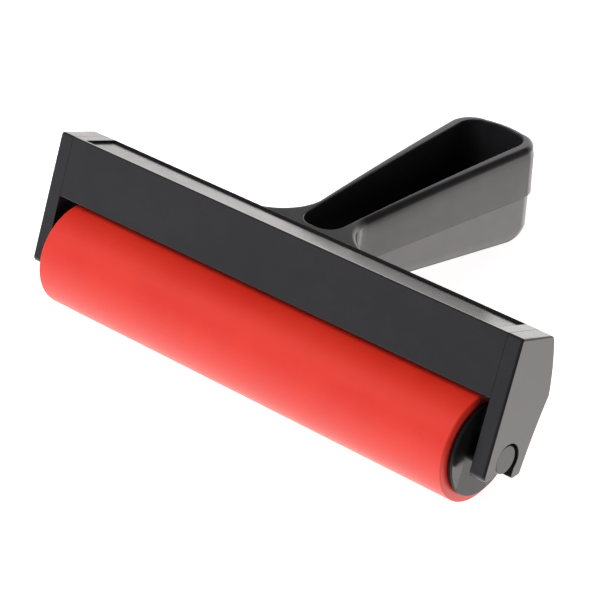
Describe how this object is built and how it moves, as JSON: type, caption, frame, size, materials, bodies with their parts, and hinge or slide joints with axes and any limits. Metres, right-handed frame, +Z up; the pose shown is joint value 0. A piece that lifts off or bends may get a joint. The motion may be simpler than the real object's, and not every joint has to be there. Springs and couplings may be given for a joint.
{
  "type": "rubber brayer",
  "caption": "Hand roller for spreading ink or adhesive: a rubber-covered roller in snap-in seats of a moulded frame with an open trough handle.",
  "frame": {"origin": "on the resting plane, at the middle of the resting tool's length and width", "axes": "+X along the roller, +Y from the roller towards the handle's end, +Z up, with the roller and the handle's end on the plane"},
  "size_m": [0.1686, 0.1258, 0.0499],
  "materials": {
    "frame_plastic": "satin black moulded plastic",
    "plug_plastic": "glossy black moulded plastic",
    "roller_rubber": "soft red rubber with a ground satin surface",
    "core_plastic": "plain grey tube"
  },
  "bodies": {
    "frame": {"frame_body": "frame_plastic", "handle_underside": "frame_plastic", "left_cheek": "frame_plastic", "right_cheek": "frame_plastic"},
    "axle": {"axle": "plug_plastic"},
    "roller": {"rubber_sleeve": "roller_rubber", "core_tube": "core_plastic", "left_end_plug": "plug_plastic", "right_end_plug": "plug_plastic"}
  },
  "joints": [
    {"name": "axle_release", "type": "slide", "parent": "frame", "child": "axle", "axis": [0, -0.4885, -0.8726], "range_m": [0, 0.04]},
    {"name": "roller_spin", "type": "hinge", "parent": "axle", "child": "roller", "pos_m": [0, -0.0471, 0.0158], "axis": [1, 0, 0], "continuous": true}
  ]
}
